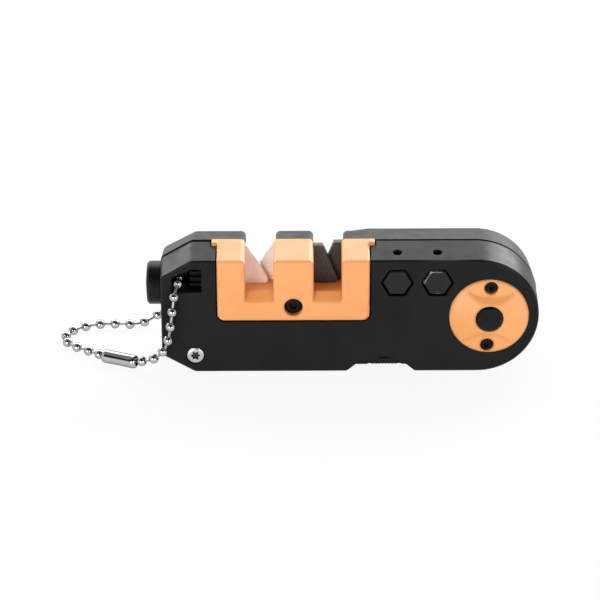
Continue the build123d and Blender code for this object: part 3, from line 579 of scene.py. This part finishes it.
# Ball chain: hollow nickel-plated balls on short wire links, from the window down to the floor and back.
# Its ends meet in a barrel connector rolled from sheet, whose ends are drawn in round the last balls.
def plated_metal(name, low, high, gloss):
    """Bright plating: almost a mirror, with a faint orange-peel relief and uneven gloss.

    A grey coat tint darkens its reflection, most where it is crossed at a slant: painted shade on the rims.
    """
    material, tree, shader, place = start_material(name)
    plating_drift = speckle(tree, place, size=0.0012, detail=3.0)
    tree.links.new(blend_tones(tree, plating_drift, low, high), shader.inputs["Base Color"])
    tree.links.new(spread(tree, speckle(tree, place, size=0.0004), *gloss), shader.inputs["Roughness"])
    peel = speckle(tree, place, size=0.0007)
    raise_grain(tree, shader, peel, depth=0.000004, strength=0.15, edge=0.0001)
    shader.inputs["Metallic"].default_value = 1.0
    shader.inputs["Coat Weight"].default_value = 1.0
    shader.inputs["Coat IOR"].default_value = 1.02
    shader.inputs["Coat Roughness"].default_value = 0.1
    # Painted shade: the tint darkens the reflection, most at the rims
    shader.inputs["Coat Tint"].default_value = (0.60, 0.60, 0.60, 1)
    return material


chain_nickel = plated_metal(
    "chain_nickel", low=(0.90, 0.90, 0.90), high=(0.97, 0.97, 0.97), gloss=(0.06, 0.12)
)
chain_route = [
    (-0.04078, -0.00005, 0.02390),
    (-0.04088, -0.00500, 0.02400),
    (-0.04093, -0.00870, 0.02450),
    (-0.04180, -0.01120, 0.02270),
    (-0.04235, -0.01190, 0.01840),
    (-0.04290, -0.01245, 0.01410),
    (-0.04355, -0.01230, 0.01020),
    (-0.04480, -0.01145, 0.00690),
    (-0.04720, -0.01005, 0.00400),
    (-0.05185, -0.00745, 0.00185),
    (-0.06093, -0.00320, 0.00180),
    (-0.06423, 0.00000, 0.00140),
    (-0.06693, 0.00200, 0.00130),
    (-0.06953, 0.00390, 0.00135),
    (-0.07143, 0.00690, 0.00130),
    (-0.07123, 0.01090, 0.00135),
    (-0.06903, 0.01370, 0.00130),
    (-0.06583, 0.01570, 0.00135),
    (-0.06243, 0.01680, 0.00130),
    (-0.05853, 0.01680, 0.00135),
    (-0.05463, 0.01630, 0.00130),
    (-0.05083, 0.01750, 0.00155),
    (-0.04743, 0.01860, 0.00340),
    (-0.04483, 0.01760, 0.00660),
    (-0.04313, 0.01560, 0.01040),
    (-0.04173, 0.01360, 0.01440),
    (-0.04113, 0.01200, 0.01830),
    (-0.04093, 0.01160, 0.02220),
    (-0.04083, 0.00980, 0.02440),
    (-0.04073, 0.00480, 0.02400),
    (-0.04078, 0.00005, 0.02390),
]
line = bpy.data.curves.new("chain_line", "CURVE")
line.dimensions = "3D"
line.resolution_u = 24
spline = line.splines.new("NURBS")
spline.points.add(len(chain_route) - 1)
spline.points.foreach_set("co", np.array([(*point, 1.0) for point in chain_route]).ravel())
spline.order_u = 3
spline.use_endpoint_u = True
line_piece = bpy.data.objects.new("chain_line", line)
line_mesh = bpy.data.meshes.new_from_object(line_piece)
chain_path = np.empty(len(line_mesh.vertices) * 3)
line_mesh.vertices.foreach_get("co", chain_path)
chain_path = chain_path.reshape(-1, 3)
bpy.data.objects.remove(line_piece)
bpy.data.meshes.remove(line_mesh)
path_step = np.linalg.norm(np.diff(chain_path, axis=0), axis=1)
path_at = np.concatenate([[0], np.cumsum(path_step)])
chain_length = float(path_at[-1])


def along_chain(places):
    """Points at those distances along the chain's line."""
    return np.stack([np.interp(places, path_at, chain_path[:, axis]) for axis in range(3)], axis=-1)


ball_radius = 0.00125
ball_hole = 0.0005
ball_pitch = 0.00393
link_radius = 0.00034
link_points = 9
barrel_middle = np.array(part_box("chain_connector")).mean(axis=0)
barrel_at = path_at[np.linalg.norm(chain_path - barrel_middle, axis=1).argmin()]
# Two balls are held inside the connector, and the rest follow from both its ends at an even pitch
inside_half = 0.0023
first_out = 0.0064
ball_count = round((chain_length - 2 * first_out) / ball_pitch)
outside = np.linspace(first_out, chain_length - first_out, ball_count + 1)
ball_at = np.sort((barrel_at + np.concatenate([[-inside_half, inside_half], outside])) % chain_length)


def ball_rings(place):
    """One ball: a sphere about a point of the chain, open at its two link holes, whose rims turn in."""
    rows, sides = 13, 28
    rim_turn = 0.8
    steep = 0.9
    beside = 0.0003
    reach = math.sqrt(ball_radius**2 - ball_hole**2)
    slope = np.linspace(-1, 1, rows) * math.asin(reach / ball_radius)
    centre, before, after = along_chain(np.array([place, place - beside, place + beside]))
    axis = (after - before) / np.linalg.norm(after - before)
    sphere = centre + axis * (ball_radius * np.sin(slope))[:, None]
    inner = centre + axis * (np.array([-rim_turn, rim_turn]) * reach)[:, None]
    centres = np.vstack([inner[:1], sphere, inner[1:]])
    radius = np.concatenate([[ball_hole], ball_radius * np.cos(slope), [ball_hole]])
    lean = np.array([0, 0, 1.0]) if abs(axis[2]) < steep else np.array([0, 1.0, 0])
    out = np.cross(axis, lean)
    out /= np.linalg.norm(out)
    angle = np.linspace(0, 2 * np.pi, sides, endpoint=False)
    spoke = np.cos(angle)[:, None] * out + np.sin(angle)[:, None] * np.cross(axis, out)
    return centres[:, None] + radius[:, None, None] * spoke


balls = [ball_rings(place) for place in ball_at]
link_ends = np.concatenate([[0], ball_at, [chain_length]])
links = [
    sweep_rings(along_chain(np.linspace(start, end, link_points)), link_radius, wire_sides)
    for start, end in zip(link_ends, link_ends[1:])
]
ball_chain = add_piece(
    "ball_chain",
    tube_mesh("ball_chain", *balls, *links),
    chain_nickel,
    "body",
    "chain_nickel",
    "chain_beads",
    "chain_links",
)
# The links are of drawn wire, which the plating leaves duller than the balls. A tube's faces are a quad
# for each side between its rings, and a fan at both ends
link_wire = drawn_steel(
    "link_wire", low=(0.34, 0.34, 0.34), high=(0.46, 0.46, 0.46), gloss=(0.30, 0.42), stretch=(1, 1, 1)
)
ball_chain.data.materials.append(link_wire)
ball_faces = sum((rings.shape[0] + 1) * rings.shape[1] for rings in balls)
chain_finish = np.zeros(len(ball_chain.data.polygons), int)
chain_finish[ball_faces:] = 1
ball_chain.data.polygons.foreach_set("material_index", chain_finish)

barrel_radius = 0.00175
barrel_wall = 0.0003
barrel_mouth = 0.0009
barrel_half = 0.0049
barrel_shoulder = 0.0011
barrel_waist = 0.00005
barrel_sides = 72
barrel_ends = np.array([chain_route[9], chain_route[10]])
barrel_axis = np.diff(barrel_ends, axis=0)[0]
barrel_axis /= np.linalg.norm(barrel_axis)
barrel_side = np.cross(barrel_axis, (0, 0, 1.0))
barrel_side /= np.linalg.norm(barrel_side)
# Outer wall from mouth to mouth, with round shoulders and a slight swell towards both ends, and then the
# inner wall back
shoulder = np.linspace(0, np.pi / 2, 9)
shoulder_reach = barrel_half - barrel_shoulder + barrel_shoulder * np.cos(shoulder)
shoulder_radius = barrel_mouth + (barrel_radius - barrel_mouth) * np.sin(shoulder) ** 0.8
belly = np.linspace(1, -1, 13)[1:-1]
belly_reach = belly * (barrel_half - barrel_shoulder)
belly_radius = barrel_radius - barrel_waist * (1 - belly**2)
inner_reach = np.array([-1, -0.86, -0.72, 0.72, 0.86, 1]) * (barrel_half - barrel_wall)
inner_radius = np.array([0.8, 1.2, 1.6, 1.6, 1.2, 0.8]) * barrel_mouth
barrel_reach = np.concatenate([shoulder_reach, belly_reach, -shoulder_reach[::-1], inner_reach])
barrel_profile = np.concatenate([shoulder_radius, belly_radius, shoulder_radius[::-1], inner_radius])
# The sheet's edges meet in a fine groove along the lower side
seam_depth = 0.00009
seam_at = 1.25 * np.pi
seam_width = 0.06
angle = np.linspace(0, 2 * np.pi, barrel_sides, endpoint=False)
seam = seam_depth * np.exp(-(((angle - seam_at) / seam_width) ** 2))
barrel_up = np.cross(barrel_side, barrel_axis)
barrel_spoke = np.cos(angle)[:, None] * barrel_side + np.sin(angle)[:, None] * barrel_up
barrel_rings = (
    barrel_ends.mean(axis=0)
    + barrel_reach[:, None, None] * barrel_axis
    + (barrel_profile[:, None] - seam)[..., None] * barrel_spoke
)
connector = add_piece(
    "barrel_connector",
    tube_mesh("barrel_connector", barrel_rings, loop=True),
    chain_nickel,
    "body",
    "chain_nickel",
    "chain_connector",
)

# Studio: a pale floor and an even white surround, darker on the camera's side, with soft boxes before and
# behind the handle. The floor shows as white and keeps a soft shadow under the handle and the chain.
floor_half = 1.5
floor_corners = [(x * floor_half, y * floor_half, 0) for x, y in ((-1, -1), (1, -1), (1, 1), (-1, 1))]
floor_mesh = bpy.data.meshes.new("studio_floor")
floor_mesh.from_pydata(floor_corners, [], [(0, 1, 2, 3)])
floor = bpy.data.objects.new("studio_floor", floor_mesh)
bpy.context.scene.collection.objects.link(floor)


def seen_by_lens(tree):
    """One where a ray comes from the camera or from a mirror or glass, and zero elsewhere."""
    rays = tree.nodes.new("ShaderNodeLightPath")
    total = rays.outputs["Is Camera Ray"]
    for kind in ("Is Glossy Ray", "Is Transmission Ray"):
        total = work_out(tree, "MAXIMUM", total, rays.outputs[kind])
    return total


white_share = 0.92
paper, tree, shader, place = start_material("floor_paper")
fibres = speckle(tree, place, size=0.002, detail=4.0)
paper_tone = blend_tones(tree, fibres, low=(0.86, 0.86, 0.86), high=(0.88, 0.88, 0.88))
tree.links.new(paper_tone, shader.inputs["Base Color"])
shader.inputs["Roughness"].default_value = 0.9
shader.inputs["Specular IOR Level"].default_value = 0.1
glow = tree.nodes.new("ShaderNodeEmission")
mix = tree.nodes.new("ShaderNodeMixShader")
tree.links.new(work_out(tree, "MULTIPLY", seen_by_lens(tree), white_share), mix.inputs["Fac"])
tree.links.new(shader.outputs["BSDF"], mix.inputs[1])
tree.links.new(glow.outputs["Emission"], mix.inputs[2])
tree.links.new(mix.outputs["Shader"], tree.nodes["Material Output"].inputs["Surface"])
floor_mesh.materials.append(paper)

# The surround is brighter behind the handle and dimmer overhead, and the dark side is drawn out along X
dark_side = (0.0, -0.78, 0.62)
dark_stretch = (0.45, 1.0, 1.0)
world = bpy.data.worlds.new("studio")
bpy.context.scene.world = world
world.use_nodes = True
tree = world.node_tree
toward = tree.nodes.new("ShaderNodeTexCoord").outputs["Generated"]
flatten = tree.nodes.new("ShaderNodeVectorMath")
flatten.operation = "MULTIPLY"
flatten.inputs[1].default_value = dark_stretch
tree.links.new(toward, flatten.inputs[0])
unit = tree.nodes.new("ShaderNodeVectorMath")
unit.operation = "NORMALIZE"
tree.links.new(flatten.outputs["Vector"], unit.inputs[0])
facing = tree.nodes.new("ShaderNodeVectorMath")
facing.operation = "DOT_PRODUCT"
facing.inputs[1].default_value = dark_side
tree.links.new(unit.outputs["Vector"], facing.inputs[0])
heading = tree.nodes.new("ShaderNodeSeparateXYZ")
tree.links.new(toward, heading.inputs["Vector"])
ceiling = blend_tones(
    tree, heading.outputs["Z"], low=(1.0, 1.0, 1.0), high=(0.3, 0.3, 0.3), start=0.42, end=0.85
)
rear_wall = blend_tones(
    tree, heading.outputs["Y"], low=(0.95, 0.95, 0.95), high=(1.35, 1.35, 1.35), start=0.2, end=0.9
)
walls = tree.nodes.new("ShaderNodeMix")
walls.data_type = "RGBA"
walls.blend_type = "MULTIPLY"
walls.inputs["Factor"].default_value = 1.0
tree.links.new(ceiling, walls.inputs["A"])
tree.links.new(rear_wall, walls.inputs["B"])
dark_share = blend_tones(
    tree, facing.outputs["Value"], low=(0, 0, 0), high=(1, 1, 1), start=0.76, end=0.86
)
surround = mix_tones(tree, dark_share, walls.outputs["Result"], (0.02, 0.02, 0.02))
tree.links.new(surround, tree.nodes["Background"].inputs["Color"])


def soft_box(name, place, size, power):
    """Square area lamp that looks at the middle of the handle, a little above the floor."""
    aim = (0, 0, 0.02)
    lamp = bpy.data.lights.new(name, "AREA")
    lamp.size = size
    lamp.energy = power
    box = bpy.data.objects.new(name, lamp)
    bpy.context.scene.collection.objects.link(box)
    box.location = place
    direction = np.array(aim) - np.array(place)
    flat = math.hypot(direction[0], direction[1])
    box.rotation_euler = (math.atan2(flat, -direction[2]), 0, math.atan2(-direction[0], direction[1]))


soft_box("rear_box", place=(0.0, 0.55, 0.62), size=0.6, power=3.4)
for side, front_power, rear_power in ((-1, 4.4, 2.8), (1, 2.2, 6.5)):
    soft_box(f"front_box_{side}", place=(0.45 * side, -0.8, 0.15), size=0.4, power=front_power)
    soft_box(f"rear_side_box_{side}", place=(0.48 * side, 0.66, 0.42), size=0.45, power=rear_power)

# Camera: a long lens in front of the handle and about 25 degrees above the floor, as in the photograph.
# It is rolled by a fifth of a degree, which levels the handle as it stands there.
camera_pitch = 24.6
camera_roll = -0.2
camera_data = bpy.data.cameras.new("camera")
camera_data.sensor_width = 36
camera_data.lens = 151.3
camera = bpy.data.objects.new("camera", camera_data)
bpy.context.scene.collection.objects.link(camera)
camera.location = (-0.010575, -0.58203, 0.28214)
tilt = Matrix.Rotation(math.radians(90 - camera_pitch), 3, "X")
camera.rotation_euler = (tilt @ Matrix.Rotation(math.radians(camera_roll), 3, "Z")).to_euler()
bpy.context.scene.camera = camera
bpy.context.scene.view_settings.view_transform = "Standard"
